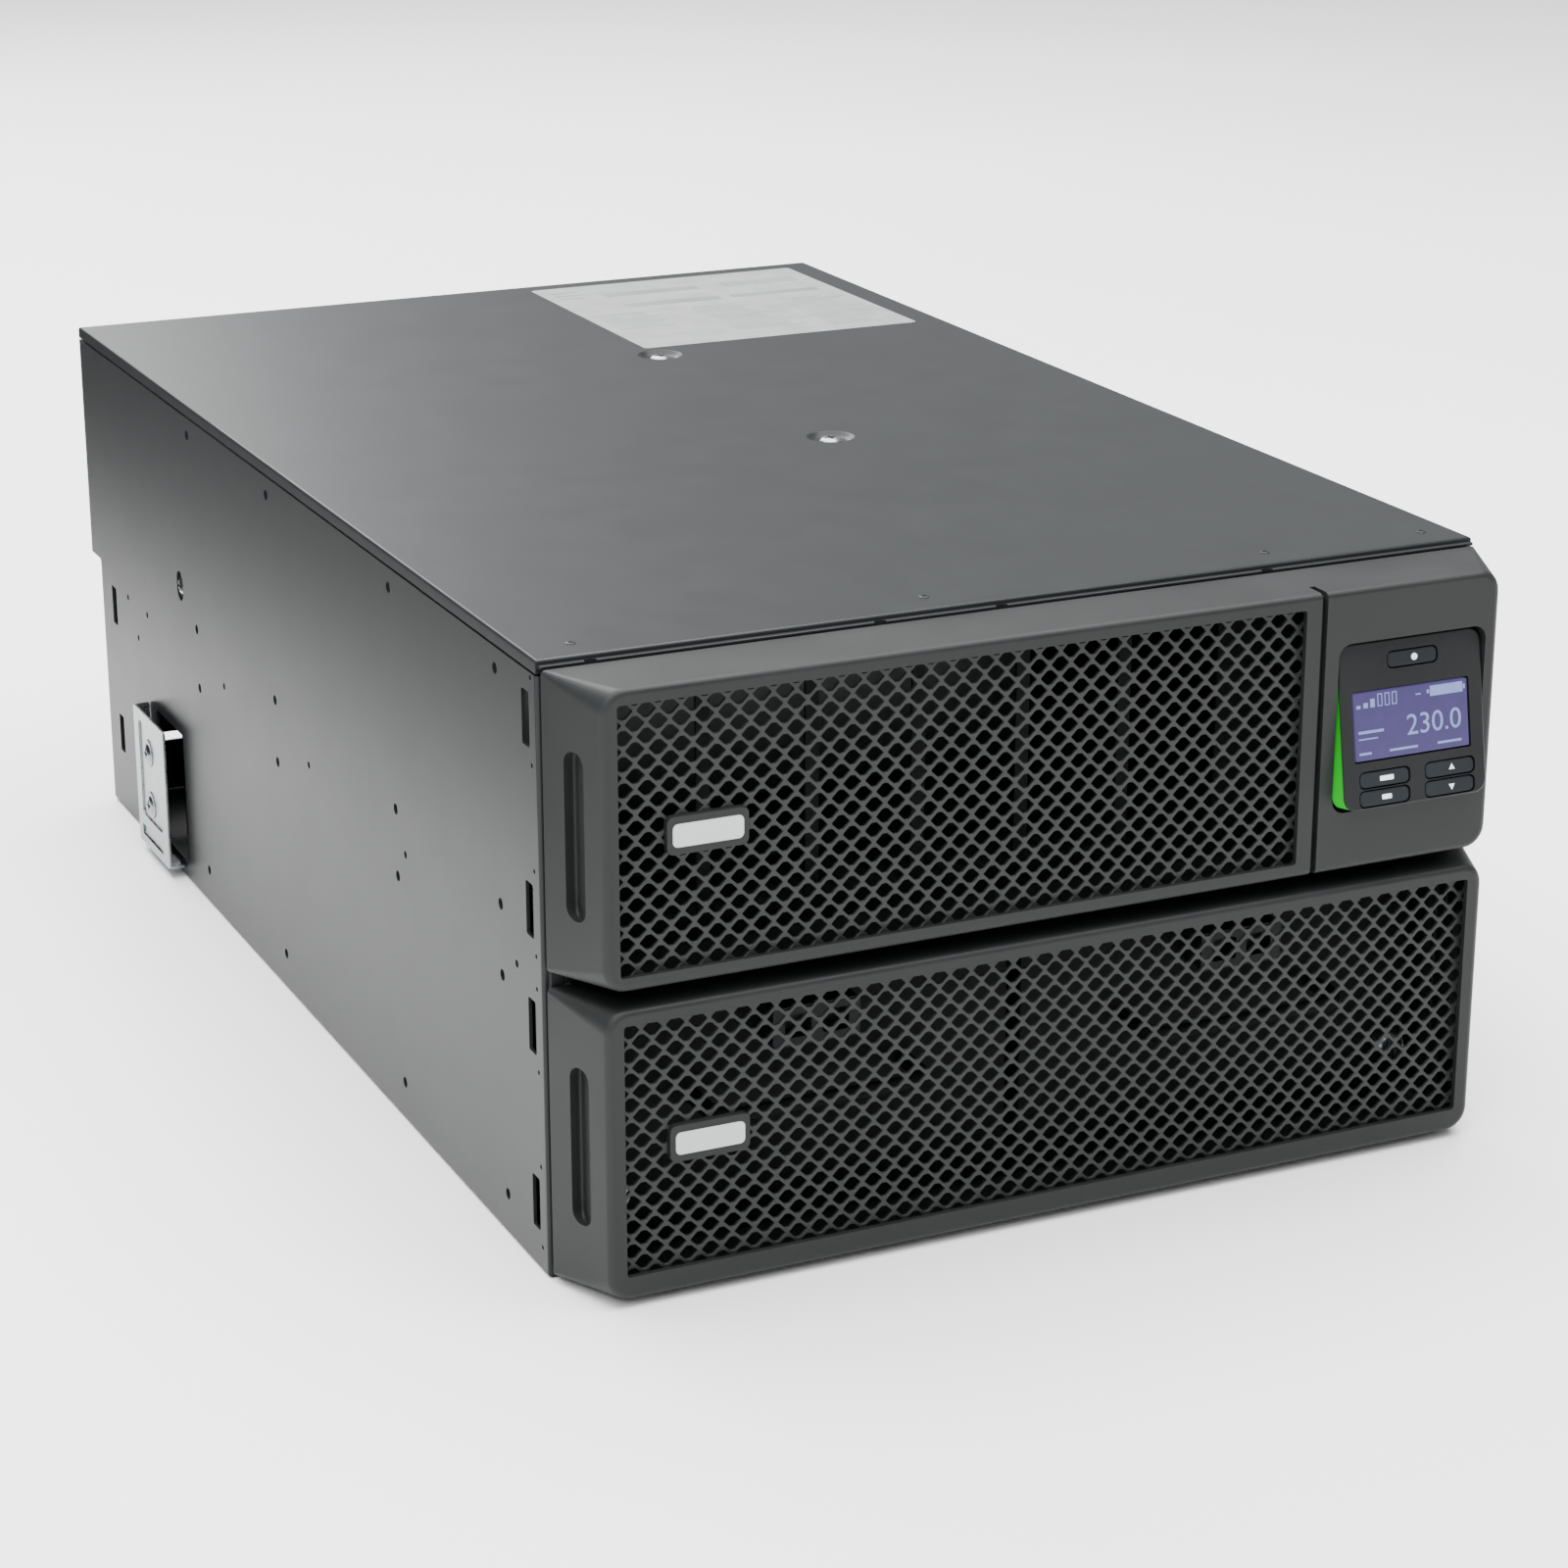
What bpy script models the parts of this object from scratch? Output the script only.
"""Rackmount uninterruptible power supply, six rack units high.

The lower half holds two sliding battery modules behind a clip-on bezel. The upper half
holds the power electronics, with a tilting display head in its own clip-on bezel.

The frame: +X is the right-hand side seen from the front, the front faces -Y and +Z is up.
The origin is the middle of the base under the whole unit. All lengths in this file are
millimetres and MM turns them into Blender's metres. "Depth" is measured backwards from
the front plane of the steel chassis, so the bezels have negative depths.
"""
import math

import bmesh
import bpy
from mathutils import Matrix, Vector

MM = 0.001

# ---- driving dimensions -------------------------------------------------------------
BODY_WIDTH = 432.0
BODY_HEIGHT = 263.0
BODY_DEPTH = 676.0
LOWER_DEPTH = 658.0        # the battery bay stops short of the rear of the upper half
BASE_CENTRE_DEPTH = 321.0  # depth of the origin behind the chassis front plane
SHEET = 1.5                # steel sheet
GAP = 0.3                  # running gap between separate pieces
DECK_HEIGHT = 133.0        # underside of the deck between the two halves

HALF = BODY_WIDTH / 2
INNER = HALF - SHEET
FLANGE_X = 204.0           # inner edge of the chassis front flanges
COVER_UNDERSIDE = BODY_HEIGHT - SHEET
COVER_LIP_BOTTOM = BODY_HEIGHT - 5.5   # the lid's side lips stand on the tray's sides
COVER_DIMPLES = ((41.6, 481.0), (44.5, 281.0))

# bezels
BEZEL_DEPTH = 39.0
BEZEL_BACK = -3.8
BEZEL_WALL = 2.5
BEZEL_FACE = 3.0
BEZEL_BACK_X = 215.4
BEZEL_FACE_X = 204.4
UPPER_BEZEL_Z = (135.0, 260.0)
LOWER_BEZEL_Z = (2.5, 128.6)
FACE_CORNER = 9.0
HOLLOW_CORNER = 4.0
UPPER_MESH = ((-198.3, 109.0), (142.0, 253.3))
LOWER_MESH = ((-197.3, 197.3), (13.5, 121.8))
GRILLE_LAP = 2.5
GRILLE_THICK = 1.2
GRIP_DEPTHS = (-28.0, -16.0)
GRIP_POCKET = 6.5
UPPER_GRIP_Z = (162.0, 231.5)
LOWER_GRIP_Z = (32.0, 100.0)
GROOVE_X = (116.2, 119.0)

# display head, in its own frame about the hinge axis: y towards the rear, z up the face
HINGE_X = 162.1
HINGE_DEPTH = -31.0
HINGE_Z = 215.6
REST_TILT = 10.0           # degrees out from flush
HEAD_HALF = 35.5
HEAD_TOP = 18.2
HEAD_BOTTOM = -52.8
HEAD_FACE = -8.0
HEAD_WALL = 3.4
HEAD_SPLIT = 2.0           # where the front housing meets the back cover
HEAD_BACK = 6.0
WINDOW_X = (HINGE_X - 36.5, HINGE_X + 36.5)
WINDOW_Z = (161.8, 236.2)
EAR_X = 24.0
EAR_THICK = 4.0
EAR_RADIUS = 3.0
PIN_RADIUS = 1.5
SCREEN = ((-29.0, 28.0), (-32.0, -2.9))
KEY_SIZE = (24.4, 6.6)
KEY_PLACES = {
    "power_button": (1.1, 9.3),
    "menu_button": (-15.2, -40.2),
    "enter_button": (-15.6, -48.2),
    "up_button": (17.4, -40.2),
    "down_button": (17.0, -48.2),
}

# side panel holes
HOLE_COLUMNS = (45.0, 173.0, 345.0, 474.0)
HOLE_ROWS = (18.5, 116.5, 147.5, 247.5)
KEYHOLE = (501.0, 164.0)
SMALL_HOLES = ((162, 130), (296, 130), (430, 130), (568, 130), (588, 112), (605, 130), (28, 127.5))
EAR_SLOTS_Z = (29.0, 106.5, 156.5, 236.5)
EAR_SLOT = (8.0, 16.0, 11.5)     # near edge, far edge, half height
REAR_SLOTS_Z = (45.0, 118.0)
REAR_SLOT = (629.5, 638.0, 10.5)
BRACKET_DEPTH = (518.0, 574.0)
BRACKET_Z = (5.0, 81.0)
BRACKET_STAND = 9.0              # how far the brackets stand off the sides
BRACKET_OPENING = ((511.0, 561.0), (10.0, 80.0))   # depths and heights cut behind each bracket

# battery modules
MODULE_X = (3.0, 199.0)
MODULE_DEPTH = (6.0, 576.0)
MODULE_Z = (1.8, 120.0)

# rear
FAN_X = (-165.0, -78.0, 9.0)
FAN_Z = 197.0
FAN_SIDE = 80.0
FAN_BORE = 38.0
FAN_DEPTH = (648.5, 673.5)
REAR_PANEL = (673.8, 675.3)
LOWER_REAR_PANEL = (656.0, 657.5)
REAR_MOST = 690.0
CARD_X, CARD_Z = (70.0, 118.0), (207.0, 243.0)
PORTS_X, PORTS_Z = (130.0, 200.0), (209.0, 241.0)
BREAKER_X, BREAKER_Z = (70.0, 98.0), (150.0, 192.0)
TERMINAL_X, TERMINAL_Z = (116.0, 204.0), (146.0, 192.0)
BATTERY_PORT_X, BATTERY_PORT_Z = (110.0, 170.0), (50.0, 84.0)
GROUND_X, GROUND_Z = 196.0, 110.0
SOCKET = 13.0              # depth of the low-voltage sockets
RJ_SOCKET = (12.0, 8.0)
SERVICE_SOCKET = (9.0, 9.0)
SWITCH_PIVOT = (672.0, 171.0)

PARTS = bpy.data.collections.new("rackmount_ups")
CUTTERS = bpy.data.collections.new("cutters")


# ---- helpers --------------------------------------------------------------------------
def clear_scene():
    """Empty the scene and add the two collections."""
    for thing in list(bpy.data.objects):
        bpy.data.objects.remove(thing, do_unlink=True)
    for collection in (PARTS, CUTTERS):
        bpy.context.scene.collection.children.link(collection)


def linear(channel):
    """Turn one sRGB channel, 0 to 1, into a linear value."""
    if channel <= 0.04045:
        return channel / 12.92
    return ((channel + 0.055) / 1.055) ** 2.4


def finish(name, hex_colour, roughness, metallic=0.0):
    """A Principled material from an sRGB hex colour."""
    mat = bpy.data.materials.new(name)
    mat.use_nodes = True
    shader = mat.node_tree.nodes["Principled BSDF"]
    rgb = [linear(int(hex_colour[i:i + 2], 16) / 255) for i in (0, 2, 4)]
    shader.inputs["Base Color"].default_value = (*rgb, 1.0)
    shader.inputs["Roughness"].default_value = roughness
    shader.inputs["Metallic"].default_value = metallic
    mat.diffuse_color = (*rgb, 1.0)
    return mat


def block(bm, x, y, z):
    """Add a box between three spans, in millimetres."""
    size = Vector((x[1] - x[0], y[1] - y[0], z[1] - z[0]))
    middle = Vector(((x[0] + x[1]) / 2, (y[0] + y[1]) / 2, (z[0] + z[1]) / 2))
    place = Matrix.Translation(middle) @ Matrix.Diagonal(size.to_4d())
    bmesh.ops.create_cube(bm, size=1.0, matrix=place)


def behind(depth):
    """World y, in millimetres, of a depth behind the chassis front plane."""
    return depth - BASE_CENTRE_DEPTH


def box(bm, x, depth, z):
    """Add a box given by its spans of x, depth and height."""
    block(bm, x, (behind(depth[0]), behind(depth[1])), z)


def rod(bm, centre, axis, radius, length, segments=16, end_radius=None):
    """Add a cylinder, or a cone, along axis "X", "Y" or "Z"."""
    turns = {
        "X": Matrix.Rotation(math.pi / 2, 4, "Y"),
        "Y": Matrix.Rotation(-math.pi / 2, 4, "X"),
        "Z": Matrix.Identity(4),
    }
    half_step = Matrix.Rotation(math.pi / segments, 4, "Z")
    bmesh.ops.create_cone(
        bm, cap_ends=True, segments=segments, radius1=radius,
        radius2=radius if end_radius is None else end_radius, depth=length,
        matrix=Matrix.Translation(Vector(centre)) @ turns[axis] @ half_step)


def rounded_outline(x, z, radius, steps=4):
    """Points round a rectangle in the x-z plane with round corners."""
    corners = ((x[1] - radius, z[1] - radius, 0), (x[0] + radius, z[1] - radius, 90),
               (x[0] + radius, z[0] + radius, 180), (x[1] - radius, z[0] + radius, 270))
    points = []
    for cx, cz, start in corners:
        for step in range(steps + 1):
            angle = math.radians(start + 90 * step / steps)
            points.append((cx + radius * math.cos(angle), cz + radius * math.sin(angle)))
    return points


def loft(bm, sections):
    """Skin a closed body through sections, each a y value and its x-z outline."""
    loops = []
    for y, outline in sections:
        verts = [bm.verts.new((x, y, z)) for x, z in outline]
        edges = [bm.edges.new((a, b)) for a, b in zip(verts, verts[1:] + verts[:1])]
        loops.append((verts, edges))
    for near, far in zip(loops, loops[1:]):
        bmesh.ops.bridge_loops(bm, edges=near[1] + far[1])
    bm.faces.new(loops[0][0])
    bm.faces.new(loops[-1][0])
    bmesh.ops.recalc_face_normals(bm, faces=bm.faces)


def slab(bm, outline, y, thickness):
    """Add an outline in the x-z plane, extruded backwards from y."""
    loft(bm, [(y, outline), (y + thickness, outline)])


def place_object(name, bm, collection, parent):
    """Scale a bmesh to metres and make it an object with its origin at its middle."""
    bmesh.ops.scale(bm, vec=(MM, MM, MM), verts=bm.verts)
    corners = [vert.co for vert in bm.verts]
    middle = Vector([(min(c[i] for c in corners) + max(c[i] for c in corners)) / 2 for i in range(3)])
    bmesh.ops.translate(bm, vec=-middle, verts=bm.verts)
    mesh = bpy.data.meshes.new(name)
    bm.to_mesh(mesh)
    bm.free()
    thing = bpy.data.objects.new(name, mesh)
    thing.location = middle
    thing.parent = parent
    collection.objects.link(thing)
    return thing


def part(name, bm, mat, parent=None, smooth=False):
    """Make one sub-part."""
    thing = place_object(name, bm, PARTS, parent)
    thing.data.materials.append(mat)
    if smooth:
        thing.data.shade_smooth()
        thing.data.set_sharp_from_angle(angle=math.radians(35))
    return thing


def combine(thing, bm, operation="DIFFERENCE", parent=None):
    """Cut a part with a bmesh, or join the bmesh to it."""
    tool = place_object(f"{thing.name}_tool_{len(thing.modifiers)}", bm, CUTTERS, parent)
    tool.hide_render = True
    tool.display_type = "WIRE"
    boolean = thing.modifiers.new("join" if operation == "UNION" else "cut", "BOOLEAN")
    boolean.operation = operation
    boolean.solver = "EXACT"
    boolean.object = tool
    return thing


def pivot(name, location, tilt=0.0):
    """An empty on a joint's axis, tilted about X in degrees."""
    empty = bpy.data.objects.new(name, None)
    empty.location = Vector(location) * MM
    empty.rotation_euler = (math.radians(tilt), 0, 0)
    PARTS.objects.link(empty)
    return empty


# ---- finishes -------------------------------------------------------------------------
def make_finishes():
    """Every finish on the unit, by the name of what it is."""
    return {
        "case_paint": finish("case_paint", "77797B", 0.45),
        "inner_steel": finish("inner_steel", "8E9294", 0.4, 0.8),
        "black_paint": finish("black_paint", "151617", 0.7),
        "zinc": finish("zinc", "C9CCCB", 0.3, 0.9),
        "bezel_plastic": finish("bezel_plastic", "4A4C4B", 0.55),
        "grille_plastic": finish("grille_plastic", "6B6D6D", 0.5),
        "badge": finish("badge", "D9DADA", 0.4),
        "head_plastic": finish("head_plastic", "444547", 0.5),
        "key_plastic": finish("key_plastic", "3A3F42", 0.45),
        "screen": finish("screen", "6E6A9E", 0.15),
        "light_guide": finish("light_guide", "00C010", 0.3),
        "circuit_board": finish("circuit_board", "1F5A34", 0.5),
        "battery_case": finish("battery_case", "2B2C2E", 0.55),
        "black_plastic": finish("black_plastic", "1D1E20", 0.45),
        "aluminium": finish("aluminium", "B9BCBE", 0.35, 1.0),
        "copper": finish("copper", "B06A3A", 0.35, 1.0),
        "label": finish("label", "C4C5C4", 0.6),
        "brass": finish("brass", "B89B54", 0.3, 1.0),
    }


# ---- chassis --------------------------------------------------------------------------
def make_chassis_tray(mat):
    """The base and both sides, one folded sheet, with front flanges and a stepped rear."""
    bm = bmesh.new()
    box(bm, (-HALF, HALF), (0, BODY_DEPTH), (0, COVER_LIP_BOTTOM - GAP))
    tray = part("chassis_tray", bm, mat)
    inside = bmesh.new()
    box(inside, (-INNER, INNER), (SHEET, BODY_DEPTH + 5), (SHEET, BODY_HEIGHT + 5))
    combine(tray, inside)
    mouth = bmesh.new()
    box(mouth, (-FLANGE_X, FLANGE_X), (-5, SHEET + 1), (SHEET, BODY_HEIGHT + 5))
    combine(tray, mouth)
    step = bmesh.new()
    box(step, (-HALF - 5, HALF + 5), (LOWER_DEPTH, BODY_DEPTH + 5), (-5, 138.0))
    combine(tray, step)
    holes = bmesh.new()
    through = BODY_WIDTH + 8
    for depth in HOLE_COLUMNS:
        for height in HOLE_ROWS:
            rod(holes, (0, behind(depth), height), "X", 3.2, through, 10)
    for depth, height in SMALL_HOLES:
        rod(holes, (0, behind(depth), height), "X", 2.0, through, 8)
    rod(holes, (0, behind(KEYHOLE[0]), KEYHOLE[1]), "X", 5.0, through, 12)
    for (near, far, half_height), heights in ((EAR_SLOT, EAR_SLOTS_Z), (REAR_SLOT, REAR_SLOTS_Z)):
        for height in heights:
            box(holes, (-through / 2, through / 2), (near, far), (height - half_height, height + half_height))
    box(holes, (-through / 2, through / 2), *BRACKET_OPENING)
    combine(tray, holes)


def make_top_cover(mat):
    """The lid: short lips that stand on the tray, long ones inside it, and a stepped front."""
    bm = bmesh.new()
    box(bm, (-HALF, HALF), (0, BODY_DEPTH), (COVER_LIP_BOTTOM, BODY_HEIGHT))
    cover = part("top_cover", bm, mat)
    underside = bmesh.new()
    box(underside, (-INNER, INNER), (-5, BODY_DEPTH + 5), (COVER_LIP_BOTTOM - 5, COVER_UNDERSIDE))
    combine(cover, underside)
    lips = bmesh.new()
    lip_outer = INNER - GAP
    for side in (-1, 1):
        span = sorted((side * (lip_outer - 1.2), side * lip_outer))
        box(lips, span, (4, BODY_DEPTH - 4), (COVER_UNDERSIDE - 12, COVER_UNDERSIDE + 0.5))
    box(lips, (-INNER + 3, INNER - 3), (-1, 1.2), (COVER_UNDERSIDE - 1.8, COVER_UNDERSIDE + 0.5))
    combine(cover, lips, "UNION")
    ledge = bmesh.new()
    box(ledge, (-HALF, HALF), (-2.6, -GAP), (COVER_UNDERSIDE - 1.8, COVER_UNDERSIDE - 0.5))
    combine(cover, ledge, "UNION")
    dimples = bmesh.new()
    for x, depth in COVER_DIMPLES:
        rod(dimples, (x, behind(depth), BODY_HEIGHT), "Z", 8.0, 1.6, 16, end_radius=10.0)
    combine(cover, dimples)


def make_inner_sheets(finishes):
    """The deck between the halves, and the panel behind the upper bezel."""
    deck = bmesh.new()
    box(deck, (-INNER + GAP, INNER - GAP), (4, 655), (DECK_HEIGHT, DECK_HEIGHT + SHEET))
    part("mid_deck", deck, finishes["inner_steel"])
    bm = bmesh.new()
    box(bm, (-INNER + GAP, INNER - GAP), (1.9, 3.2), (DECK_HEIGHT + 2.0, COVER_UNDERSIDE - 2.5))
    panel = part("front_panel", bm, finishes["black_paint"])
    vents = bmesh.new()
    vent_count = 6
    pitch = 48.0
    for i in range(vent_count):
        left = -190 + i * pitch
        box(vents, (left, left + pitch - 6), (0, 5), (146, 249))
    combine(panel, vents)


def make_rear_panels(mat):
    """The upper rear panel with its openings, and the set-back lower one with vents."""
    bm = bmesh.new()
    top = COVER_UNDERSIDE - GAP
    box(bm, (-INNER + 1.8, INNER - 1.8), REAR_PANEL, (138.3, top))
    upper = part("rear_panel_upper", bm, mat)
    openings = bmesh.new()
    middle = behind(sum(REAR_PANEL) / 2)
    for x in FAN_X:
        rod(openings, (x, middle, FAN_Z), "Y", FAN_BORE - 0.5, 10, 24)
    for x, z in ((CARD_X, CARD_Z), (PORTS_X, PORTS_Z), (BREAKER_X, BREAKER_Z), (TERMINAL_X, TERMINAL_Z)):
        margin = 0.5
        box(openings, (x[0] - margin, x[1] + margin), (670, 680), (z[0] - margin, z[1] + margin))
    combine(upper, openings)
    bm = bmesh.new()
    box(bm, (-INNER + 0.5, INNER - 0.5), LOWER_REAR_PANEL, (SHEET + GAP, DECK_HEIGHT + SHEET))
    lower = part("rear_panel_lower", bm, mat)
    vents = bmesh.new()
    for row in range(3):
        for column in range(8):
            left = -190 + column * 32
            height = 30 + row * 30
            box(vents, (left, left + 24), (650, 660), (height, height + 5))
    margin = 0.5
    box(vents, (BATTERY_PORT_X[0] - margin, BATTERY_PORT_X[1] + margin), (650, 660),
        (BATTERY_PORT_Z[0] - margin, BATTERY_PORT_Z[1] + margin))
    rod(vents, (GROUND_X, behind(657), GROUND_Z), "Y", 3.4, 10, 12)
    combine(lower, vents)


def make_rear_brackets(mat):
    """Zinc stand-off brackets low on both sides, near the rear, for the rack's rear posts."""
    near, far = BRACKET_DEPTH
    low, high = BRACKET_Z
    for name, side in (("rear_bracket_left", -1), ("rear_bracket_right", 1)):
        outer = HALF + BRACKET_STAND
        reach = sorted((side * (HALF + GAP), side * (outer - 0.5)))
        bm = bmesh.new()
        box(bm, sorted((side * (outer - SHEET), side * outer)), BRACKET_DEPTH, BRACKET_Z)
        bracket = part(name, bm, mat)
        fold = bmesh.new()
        box(fold, reach, (far - SHEET - GAP, far - GAP), (low + 0.2, high - 0.2))
        combine(bracket, fold, "UNION")
        foot = bmesh.new()
        box(foot, reach, (near + 0.2, far - 0.1), (low + 0.2, low + 0.2 + SHEET))
        combine(bracket, foot, "UNION")
        recess = bmesh.new()
        box(recess, sorted((side * (outer - 0.6), side * (outer + 2))), (near + 12, far - 12),
            (low + 17, high - 7))
        combine(bracket, recess)


# ---- bezels ---------------------------------------------------------------------------
def chamfer_x(depth):
    """x of the bezel's right-hand chamfer at a depth."""
    share = (BEZEL_BACK - depth) / (BEZEL_BACK + BEZEL_DEPTH)
    return BEZEL_BACK_X + (BEZEL_FACE_X - BEZEL_BACK_X) * share


def chamfer_angle():
    """Slope of the side chamfers, in radians from the depth direction."""
    return math.atan2(BEZEL_BACK_X - BEZEL_FACE_X, BEZEL_BACK + BEZEL_DEPTH)


def grip_tool(bm, side, z, near, far, inset, margin, radius):
    """Add a block lying in the side chamfer, between two distances inside its surface."""
    middle_depth = sum(GRIP_DEPTHS) / 2
    half_length = (GRIP_DEPTHS[1] - GRIP_DEPTHS[0]) / 2 + margin
    turn = Matrix.Rotation(-side * chamfer_angle(), 4, "Z")
    centre = Vector((side * chamfer_x(middle_depth), behind(middle_depth), (z[0] + z[1]) / 2))
    half_height = (z[1] - z[0]) / 2 + margin - inset
    local = bmesh.new()
    block(local, sorted((-side * near, -side * far)), (-half_length, half_length),
          (-half_height, half_height))
    if radius:
        edges = [edge for edge in local.edges if abs(edge.verts[0].co.x - edge.verts[1].co.x) > 1]
        bmesh.ops.bevel(local, geom=edges, offset=radius, segments=3, profile=0.5,
                        affect="EDGES", material=-1)
    bmesh.ops.transform(local, matrix=Matrix.Translation(centre) @ turn, verts=local.verts)
    temporary = bpy.data.meshes.new("grip")
    local.to_mesh(temporary)
    local.free()
    bm.from_mesh(temporary)
    bpy.data.meshes.remove(temporary)


def make_bezel(name, z, mesh_opening, grip_z, mat):
    """A moulded shell with sloping sides: open at the back, with a rim round its mesh."""
    face = behind(-BEZEL_DEPTH)
    back = behind(BEZEL_BACK)
    bm = bmesh.new()
    loft(bm, [
        (face, rounded_outline((-BEZEL_FACE_X, BEZEL_FACE_X), (z[0] + 1, z[1] - 0.5), FACE_CORNER)),
        (back, rounded_outline((-BEZEL_BACK_X, BEZEL_BACK_X), z, 2.0)),
    ])
    bezel = part(name, bm, mat)
    hollow = bmesh.new()
    wall = BEZEL_WALL
    loft(hollow, [
        (face + BEZEL_FACE, rounded_outline((-BEZEL_FACE_X + wall - 1, BEZEL_FACE_X - wall + 1),
                                            (z[0] + wall + 1, z[1] - wall - 0.5), HOLLOW_CORNER)),
        (back + 1, rounded_outline((-BEZEL_BACK_X + wall, BEZEL_BACK_X - wall),
                                   (z[0] + wall, z[1] - wall), 1.5)),
    ])
    combine(bezel, hollow)
    for side in (-1, 1):
        pocket_walls = bmesh.new()
        grip_tool(pocket_walls, side, grip_z, 1.0, GRIP_POCKET + BEZEL_WALL, 0, BEZEL_WALL, 0)
        combine(bezel, pocket_walls, "UNION")
    grips = bmesh.new()
    for side in (-1, 1):
        grip_tool(grips, side, grip_z, -3.0, GRIP_POCKET, 0, 0, 5.0)
    combine(bezel, grips)
    opening = bmesh.new()
    box(opening, mesh_opening[0], (-BEZEL_DEPTH - 3, -BEZEL_DEPTH + BEZEL_FACE + 4), mesh_opening[1])
    combine(bezel, opening)
    return bezel


def make_display_window(bezel):
    """The groove beside the mesh, and the sleeved window that the display head sits in."""
    groove = bmesh.new()
    box(groove, GROOVE_X, (-BEZEL_DEPTH - 3, -BEZEL_DEPTH + 1.8), (UPPER_BEZEL_Z[0] - 3, UPPER_BEZEL_Z[1] + 3))
    combine(bezel, groove)
    sleeve = bmesh.new()
    wall = 2.0
    box(sleeve, (WINDOW_X[0] - wall, WINDOW_X[1] + wall), (-BEZEL_DEPTH + 1, -BEZEL_DEPTH + 14),
        (WINDOW_Z[0] - wall, WINDOW_Z[1] + wall))
    combine(bezel, sleeve, "UNION")
    window = bmesh.new()
    slab(window, rounded_outline(WINDOW_X, WINDOW_Z, 5.0, 3), behind(-BEZEL_DEPTH - 5), 30)
    combine(bezel, window)


def make_grille(name, opening, pitch_x, pitch_z, rib, mat):
    """A moulded lattice of diamond openings, clipped behind a bezel's rim."""
    x, z = opening
    front = -BEZEL_DEPTH + BEZEL_FACE + GAP
    bm = bmesh.new()
    box(bm, (x[0] - GRILLE_LAP, x[1] + GRILLE_LAP), (front, front + GRILLE_THICK),
        (z[0] - GRILLE_LAP, z[1] + GRILLE_LAP))
    grille = part(name, bm, mat)
    diamonds = bmesh.new()
    columns = int((x[1] - x[0]) // pitch_x)
    rows = int((z[1] - z[0]) // pitch_z)
    left = (x[0] + x[1] - (columns - 1) * pitch_x) / 2
    bottom = (z[0] + z[1] - (rows - 1) * pitch_z) / 2
    half_x = (pitch_x - rib) / 2
    half_z = (pitch_z - rib) / 2
    stagger = [(left + i * pitch_x, bottom + j * pitch_z) for i in range(columns) for j in range(rows)]
    stagger += [(left + (i + 0.5) * pitch_x, bottom + (j + 0.5) * pitch_z)
                for i in range(columns - 1) for j in range(rows - 1)]
    for cx, cz in stagger:
        outline = [(cx + half_x, cz), (cx, cz + half_z), (cx - half_x, cz), (cx, cz - half_z)]
        slab(diamonds, outline, behind(front - 2), GRILLE_THICK + 4)
    combine(grille, diamonds)


def make_badge(name, x, z, mat):
    """A small plain badge plate standing in front of the grille."""
    bm = bmesh.new()
    front = -BEZEL_DEPTH + 0.8
    back = -BEZEL_DEPTH + BEZEL_FACE
    slab(bm, rounded_outline(x, z, 2.0, 2), behind(front), back - front)
    part(name, bm, mat)


# ---- display head ---------------------------------------------------------------------
def make_display_mount(finishes):
    """The fixed dock on the front panel, with two ears and the pin through them."""
    bm = bmesh.new()
    box(bm, (HINGE_X - 30, HINGE_X + 30), (-2, 1.4), (200, 232))
    dock = part("display_dock", bm, finishes["inner_steel"])
    for side in (-1, 1):
        middle = HINGE_X + side * EAR_X
        arm = bmesh.new()
        box(arm, (middle - EAR_THICK / 2, middle + EAR_THICK / 2), (HINGE_DEPTH, -1),
            (HINGE_Z - EAR_RADIUS + 0.1, HINGE_Z + EAR_RADIUS - 0.1))
        combine(dock, arm, "UNION")
        eye = bmesh.new()
        rod(eye, (middle, behind(HINGE_DEPTH), HINGE_Z), "X", EAR_RADIUS, EAR_THICK + 0.02, 16)
        combine(dock, eye, "UNION")
    bore = bmesh.new()
    rod(bore, (HINGE_X, behind(HINGE_DEPTH), HINGE_Z), "X", PIN_RADIUS + 0.3, 2 * EAR_X + 10, 12)
    combine(dock, bore)
    pin = bmesh.new()
    rod(pin, (HINGE_X, behind(HINGE_DEPTH), HINGE_Z), "X", PIN_RADIUS, 2 * EAR_X + 8, 12)
    part("display_hinge_pin", pin, finishes["zinc"], smooth=True)


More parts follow.
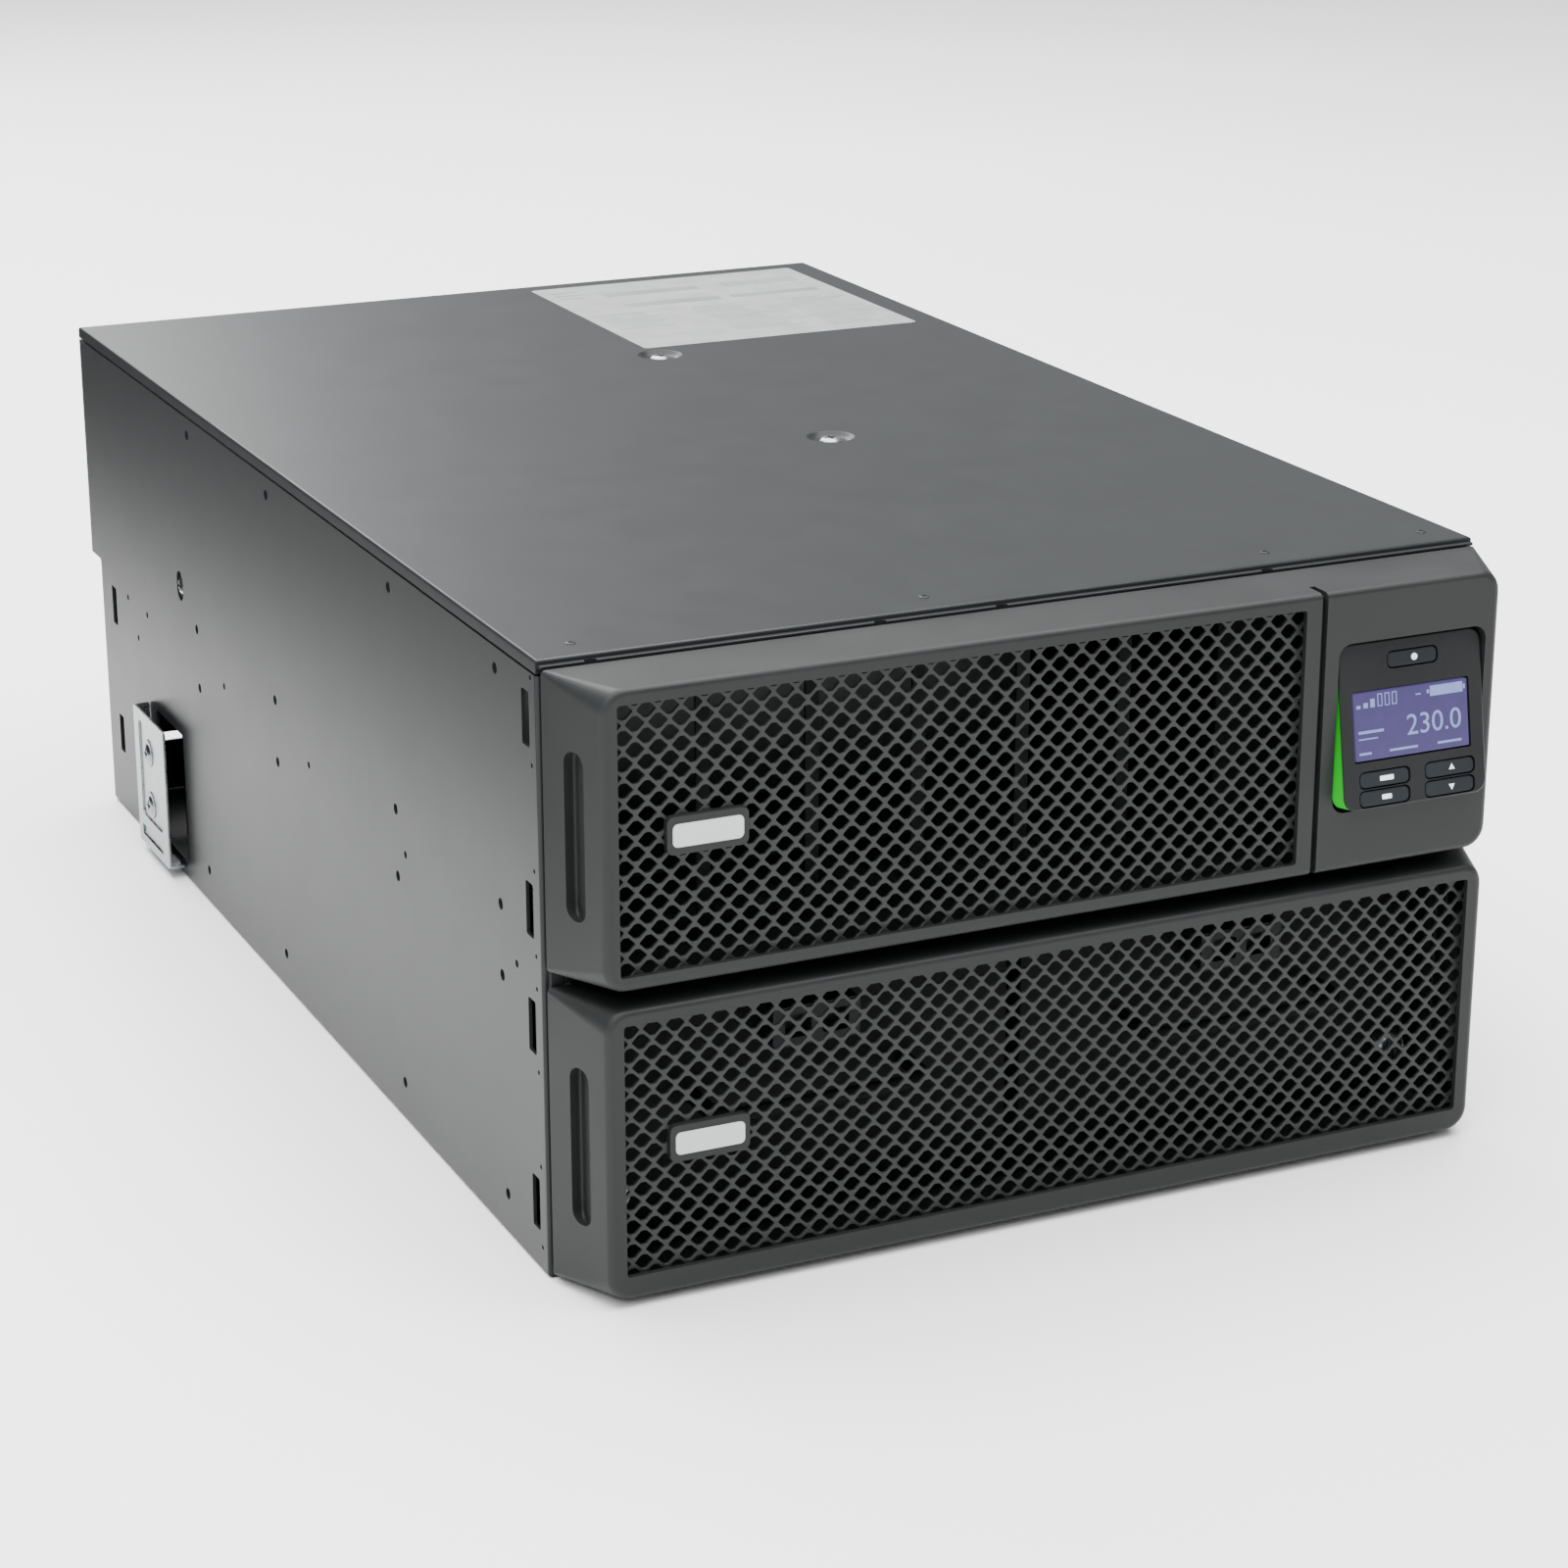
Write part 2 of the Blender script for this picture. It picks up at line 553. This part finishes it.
def make_display_head(finishes, tilt):
    """The display housing and what it carries, in the head's frame about its hinge."""
    bm = bmesh.new()
    front_radius = 6.0
    outline = rounded_outline((-HEAD_HALF, HEAD_HALF), (HEAD_BOTTOM, HEAD_TOP), front_radius, 3)
    slab(bm, outline, HEAD_FACE, HEAD_SPLIT - HEAD_FACE)
    housing = part("display_housing", bm, finishes["head_plastic"], tilt)
    inner_face = HEAD_FACE + HEAD_WALL
    well = bmesh.new()
    block(well, (-31, 31), (inner_face, HEAD_SPLIT + 2), (HEAD_BOTTOM + 1.6, -4.6))
    combine(housing, well, parent=tilt)
    front = bmesh.new()
    block(front, SCREEN[0], (HEAD_FACE - 2, inner_face + 1), SCREEN[1])
    key_x, key_z = KEY_SIZE
    slot_gap = 0.5
    for x, z in KEY_PLACES.values():
        slab(front, rounded_outline((x - key_x / 2 - slot_gap, x + key_x / 2 + slot_gap),
                                    (z - key_z / 2 - slot_gap, z + key_z / 2 + slot_gap), 2.5, 2),
             HEAD_FACE - 2, 7.4)
    combine(housing, front, parent=tilt)
    hinge = bmesh.new()
    rod(hinge, (0, 0, 0), "X", PIN_RADIUS + 0.3, 2 * EAR_X + 9, 12)
    combine(housing, hinge, parent=tilt)
    slots = bmesh.new()
    half_slot = EAR_THICK / 2 + 0.5
    for side in (-1, 1):
        block(slots, (side * EAR_X - half_slot, side * EAR_X + half_slot), (-3.9, HEAD_BACK + 2), (-4.2, 11))
    combine(housing, slots, parent=tilt)
    guides = bmesh.new()
    bar_thick = 2.5
    for side in (-1, 1):
        block(guides, sorted((side * (HEAD_HALF - bar_thick), side * (HEAD_HALF + 2))),
              (HEAD_FACE + 0.8, HEAD_SPLIT + 2), (HEAD_BOTTOM + 5.5, HEAD_TOP - 6.5))
    combine(housing, guides, parent=tilt)

    for name, side in (("light_bar_left", -1), ("light_bar_right", 1)):
        bar = bmesh.new()
        block(bar, sorted((side * (HEAD_HALF - bar_thick + GAP), side * HEAD_HALF)),
              (HEAD_FACE + 0.8 + GAP, HEAD_SPLIT), (HEAD_BOTTOM + 5.8, HEAD_TOP - 6.8))
        part(name, bar, finishes["light_guide"], tilt)

    bm = bmesh.new()
    slab(bm, outline, HEAD_SPLIT + GAP, HEAD_BACK - HEAD_SPLIT - GAP)
    cover = part("display_back", bm, finishes["black_plastic"], tilt)
    slots = bmesh.new()
    for side in (-1, 1):
        block(slots, (side * EAR_X - half_slot, side * EAR_X + half_slot), (0, HEAD_BACK + 2), (-4.2, 12))
    combine(cover, slots, parent=tilt)

    board = bmesh.new()
    block(board, (-30, 30), (-2.0, -0.4), (HEAD_BOTTOM + 2.6, -5.6))
    part("display_board", board, finishes["circuit_board"], tilt)
    screen = bmesh.new()
    block(screen, (SCREEN[0][0] + GAP, SCREEN[0][1] - GAP), (HEAD_FACE + 0.4, inner_face),
          (SCREEN[1][0] + GAP, SCREEN[1][1] - GAP))
    part("display_screen", screen, finishes["screen"], tilt)

    for name, (x, z) in KEY_PLACES.items():
        key = bmesh.new()
        slab(key, rounded_outline((x - key_x / 2, x + key_x / 2), (z - key_z / 2, z + key_z / 2), 2.2, 2),
             HEAD_FACE + 0.2, 4.2)
        part(name, key, finishes["key_plastic"], tilt)


# ---- battery modules ------------------------------------------------------------------
def make_battery_module(word, side, finishes):
    """A steel tray of batteries with its handle, connector and thumbscrew."""
    x = sorted((side * MODULE_X[0], side * MODULE_X[1]))
    middle = sum(x) / 2
    wall = 1.2
    bm = bmesh.new()
    box(bm, x, MODULE_DEPTH, MODULE_Z)
    tray = part(f"battery_tray_{word}", bm, finishes["black_paint"])
    inside = bmesh.new()
    box(inside, (x[0] + wall, x[1] - wall), (MODULE_DEPTH[0] + wall, MODULE_DEPTH[1] - wall),
        (MODULE_Z[0] + wall, MODULE_Z[1] + 5))
    combine(tray, inside)

    margin = 3.0
    bm = bmesh.new()
    depth = (MODULE_DEPTH[0] + margin, MODULE_DEPTH[1] - margin)
    box(bm, (x[0] + margin, x[1] - margin), depth, (MODULE_Z[0] + wall + GAP, MODULE_Z[1] - 8))
    blocks = part(f"battery_blocks_{word}", bm, finishes["battery_case"])
    grooves = bmesh.new()
    groove_floor = MODULE_Z[0] + 12
    box(grooves, (middle - 1.5, middle + 1.5), (depth[0] - 2, depth[1] + 2), (groove_floor, 130))
    combine(blocks, grooves)
    cross = bmesh.new()
    rows = 8
    pitch = (depth[1] - depth[0]) / rows
    for row in range(1, rows):
        edge = depth[0] + row * pitch
        box(cross, (x[0] - 5, x[1] + 5), (edge - 1.5, edge + 1.5), (groove_floor, 130))
    combine(blocks, cross)

    curve = bpy.data.curves.new(f"battery_handle_{word}", "CURVE")
    curve.dimensions = "3D"
    curve.bevel_depth = 3.5 * MM
    curve.bevel_resolution = 1
    curve.use_fill_caps = True
    spline = curve.splines.new("POLY")
    foot, reach, bend, grip_z = 48.0, -20.0, 10.0, 66.0
    front = MODULE_DEPTH[0] - GAP
    route = [(-foot, front), (-foot, reach + bend), (-foot + 3, reach + 3), (-foot + bend, reach),
             (foot - bend, reach), (foot - 3, reach + 3), (foot, reach + bend), (foot, front)]
    spline.points.add(len(route) - 1)
    for point, (along, depth_here) in zip(spline.points, route):
        point.co = (along * MM, behind(depth_here) * MM, 0, 1)
    handle = bpy.data.objects.new(f"battery_handle_{word}", curve)
    handle.location = (middle * MM, 0, grip_z * MM)
    curve.materials.append(finishes["zinc"])
    PARTS.objects.link(handle)

    connector = bmesh.new()
    box(connector, (middle - 20, middle + 20), (-12, MODULE_DEPTH[0] - GAP), (88, 106))
    part(f"battery_connector_{word}", connector, finishes["black_plastic"])

    screw = bmesh.new()
    outer = x[0] + 12 if side < 0 else x[1] - 12
    rod(screw, (outer, behind(0.7), 32), "Y", 7.0, 10.0, 16)
    part(f"battery_thumbscrew_{word}", screw, finishes["zinc"], smooth=True)


# ---- electronics and rear pieces ------------------------------------------------------
def make_electronics(finishes):
    """Boards, capacitors, heatsinks and the inductor in the upper half."""
    board = bmesh.new()
    box(board, (-200, 200), (60, 600), (144, 145.6))
    part("power_board", board, finishes["circuit_board"])

    bm = bmesh.new()
    box(bm, (-60, 60), (300, 420), (146, 148))
    bank = part("capacitor_bank", bm, finishes["black_plastic"])
    cans = bmesh.new()
    for column in range(3):
        for row in range(3):
            rod(cans, (-40 + 40 * column, behind(320 + 40 * row), 180), "Z", 17, 66, 12)
    combine(bank, cans, "UNION")

    for name, middle in (("heatsink_left", -135), ("heatsink_right", 135)):
        bm = bmesh.new()
        box(bm, (middle - 45, middle + 45), (260, 500), (148, 156))
        sink = part(name, bm, finishes["aluminium"])
        fins = bmesh.new()
        for fin in range(9):
            left = middle - 44 + fin * 10.5
            box(fins, (left, left + 2.5), (260.2, 499.8), (155, 215))
        combine(sink, fins, "UNION")

    bpy.ops.mesh.primitive_torus_add(
        location=(0, behind(530) * MM, 184 * MM), rotation=(math.pi / 2, 0, 0),
        major_segments=16, minor_segments=8, major_radius=26 * MM, minor_radius=11 * MM)
    inductor = bpy.context.active_object
    inductor.name = "output_inductor"
    inductor.data.name = "output_inductor"
    for collection in list(inductor.users_collection):
        collection.objects.unlink(inductor)
    PARTS.objects.link(inductor)
    inductor.data.materials.append(finishes["copper"])

    control = bmesh.new()
    box(control, (-190, 60), (120, 121.6), (150, 240))
    part("control_board", control, finishes["circuit_board"])


def make_fans(finishes):
    """Three 80 mm fans: a frame with its motor arms, and the rotor that spins in it."""
    motor_radius = 17.0
    for number, x in enumerate(FAN_X, 1):
        half = FAN_SIDE / 2
        middle = behind(sum(FAN_DEPTH) / 2)
        bm = bmesh.new()
        box(bm, (x - half, x + half), FAN_DEPTH, (FAN_Z - half, FAN_Z + half))
        frame = part(f"fan_frame_{number}", bm, finishes["black_plastic"])
        bore = bmesh.new()
        rod(bore, (x, middle, FAN_Z), "Y", FAN_BORE, 40, 24)
        combine(frame, bore)
        arms = bmesh.new()
        arm_depth = (FAN_DEPTH[0] + 1, FAN_DEPTH[0] + 4)
        box(arms, (x - half + 1, x + half - 1), arm_depth, (FAN_Z - 2, FAN_Z + 2))
        combine(frame, arms, "UNION")
        hub = bmesh.new()
        rod(hub, (x, behind(FAN_DEPTH[0] + 3), FAN_Z), "Y", motor_radius, 5, 16)
        combine(frame, hub, "UNION")

        bm = bmesh.new()
        rotor_middle = behind(FAN_DEPTH[0] + 15)
        rod(bm, (x, rotor_middle, FAN_Z), "Y", motor_radius, 17, 16)
        rotor = part(f"fan_rotor_{number}", bm, finishes["black_plastic"])
        blades = bmesh.new()
        blade_count = 7
        for blade in range(blade_count):
            pitch = Matrix.Rotation(math.radians(38), 4, "Z")
            spin = Matrix.Rotation(2 * math.pi * blade / blade_count, 4, "Y")
            out = Matrix.Translation((0, 0, (motor_radius + 36.0) / 2 - 1))
            size = Matrix.Diagonal(Vector((1.8, 15, 36.0 - motor_radius + 2, 1)))
            centre = Matrix.Translation((x, rotor_middle, FAN_Z))
            bmesh.ops.create_cube(blades, size=1, matrix=centre @ spin @ out @ pitch @ size)
        combine(rotor, blades, "UNION")


def make_breaker(finishes):
    """The input breaker, and its toggle on its own axis."""
    bm = bmesh.new()
    box(bm, BREAKER_X, (650, 680), BREAKER_Z)
    body = part("breaker_body", bm, finishes["black_plastic"])
    recess = bmesh.new()
    middle = sum(BREAKER_X) / 2
    depth, height = SWITCH_PIVOT
    box(recess, (middle - 6, middle + 6), (665, 685), (height - 14, height + 14))
    combine(body, recess)
    tilt = pivot("breaker_pivot", (middle, behind(depth), height), 20.0)
    bm = bmesh.new()
    rod(bm, (0, 0, 0), "X", 5.0, 10, 16)
    toggle = part("breaker_toggle", bm, finishes["head_plastic"], tilt)
    lever = bmesh.new()
    block(lever, (-4.5, 4.5), (0, 15.5), (-2, 2))
    combine(toggle, lever, "UNION", parent=tilt)


def socketed_block(name, x, depth, z, sockets, mat):
    """A block with low-voltage sockets sunk into its rear face."""
    bm = bmesh.new()
    box(bm, x, depth, z)
    body = part(name, bm, mat)
    holes = bmesh.new()
    for cx, cz, (wide, tall) in sockets:
        box(holes, (cx - wide / 2, cx + wide / 2), (depth[1] - SOCKET, depth[1] + 3),
            (cz - tall / 2, cz + tall / 2))
    combine(body, holes)


def make_connectors(finishes):
    """Network card, service ports, terminals under their cover, battery port and ground."""
    card_z = sum(CARD_Z) / 2
    socketed_block("network_card", CARD_X, (640, 677), CARD_Z, [(82, card_z, RJ_SOCKET)],
                   finishes["inner_steel"])
    port_z = sum(PORTS_Z) / 2
    socketed_block("service_ports", PORTS_X, (655, 677), PORTS_Z,
                   [(148, port_z, RJ_SOCKET), (180, port_z, SERVICE_SOCKET)],
                   finishes["black_plastic"])

    bm = bmesh.new()
    box(bm, (TERMINAL_X[0] + 6, TERMINAL_X[1] - 6), (650, 678), (154, 184))
    terminals = part("terminal_block", bm, finishes["black_plastic"])
    bays = bmesh.new()
    pole_pitch = 15.0
    for pole in range(5):
        left = TERMINAL_X[0] + 8.5 + pole * pole_pitch
        box(bays, (left, left + 11), (668, 680), (158, 180))
    combine(terminals, bays)
    bm = bmesh.new()
    box(bm, TERMINAL_X, (670, REAR_MOST), TERMINAL_Z)
    cover = part("terminal_cover", bm, finishes["case_paint"])
    hollow = bmesh.new()
    wall = 1.5
    box(hollow, (TERMINAL_X[0] + wall, TERMINAL_X[1] - wall), (665, REAR_MOST - wall),
        (TERMINAL_Z[0] + wall, TERMINAL_Z[1] - wall))
    combine(cover, hollow)
    knockouts = bmesh.new()
    for x in (138, 182):
        rod(knockouts, (x, behind(REAR_MOST), 169), "Y", 13, 1.2, 16)
    combine(cover, knockouts)

    bm = bmesh.new()
    box(bm, BATTERY_PORT_X, (640, 668), BATTERY_PORT_Z)
    port = part("battery_port", bm, finishes["black_plastic"])
    mouth = bmesh.new()
    box(mouth, (BATTERY_PORT_X[0] + 8, BATTERY_PORT_X[1] - 8), (654, 670),
        (BATTERY_PORT_Z[0] + 8, BATTERY_PORT_Z[1] - 8))
    combine(port, mouth)

    bm = bmesh.new()
    rod(bm, (GROUND_X, behind(660), GROUND_Z), "Y", 3.0, 18, 12)
    stud = part("ground_stud", bm, finishes["brass"])
    nut = bmesh.new()
    rod(nut, (GROUND_X, behind(660.3), GROUND_Z), "Y", 6.0, 5, 6)
    combine(stud, nut, "UNION")


def make_top_label(mat):
    """The plain rating plate near the rear of the lid."""
    bm = bmesh.new()
    box(bm, (40, 200), (497, 663), (BODY_HEIGHT + GAP, BODY_HEIGHT + GAP + 0.4))
    part("top_label", bm, mat)


# ---- the whole unit -------------------------------------------------------------------
def main():
    clear_scene()
    finishes = make_finishes()
    make_chassis_tray(finishes["case_paint"])
    make_top_cover(finishes["case_paint"])
    make_top_label(finishes["label"])
    make_inner_sheets(finishes)
    make_rear_panels(finishes["case_paint"])
    make_rear_brackets(finishes["zinc"])
    upper = make_bezel("upper_bezel", UPPER_BEZEL_Z, UPPER_MESH, UPPER_GRIP_Z, finishes["bezel_plastic"])
    make_display_window(upper)
    make_bezel("lower_bezel", LOWER_BEZEL_Z, LOWER_MESH, LOWER_GRIP_Z, finishes["bezel_plastic"])
    make_grille("upper_grille", UPPER_MESH, 37.0, 36.0, 9.0, finishes["grille_plastic"])
    make_grille("lower_grille", LOWER_MESH, 39.0, 35.0, 9.0, finishes["grille_plastic"])
    make_badge("upper_badge", (-177.5, -142.5), (189.0, 205.0), finishes["badge"])
    make_badge("lower_badge", (-177.5, -142.5), (59.0, 75.0), finishes["badge"])
    make_display_mount(finishes)
    tilt = pivot("display_pivot", (HINGE_X, behind(HINGE_DEPTH), HINGE_Z), -REST_TILT)
    make_display_head(finishes, tilt)
    for word, side in (("left", -1), ("right", 1)):
        make_battery_module(word, side, finishes)
    make_electronics(finishes)
    make_fans(finishes)
    make_breaker(finishes)
    make_connectors(finishes)


main()
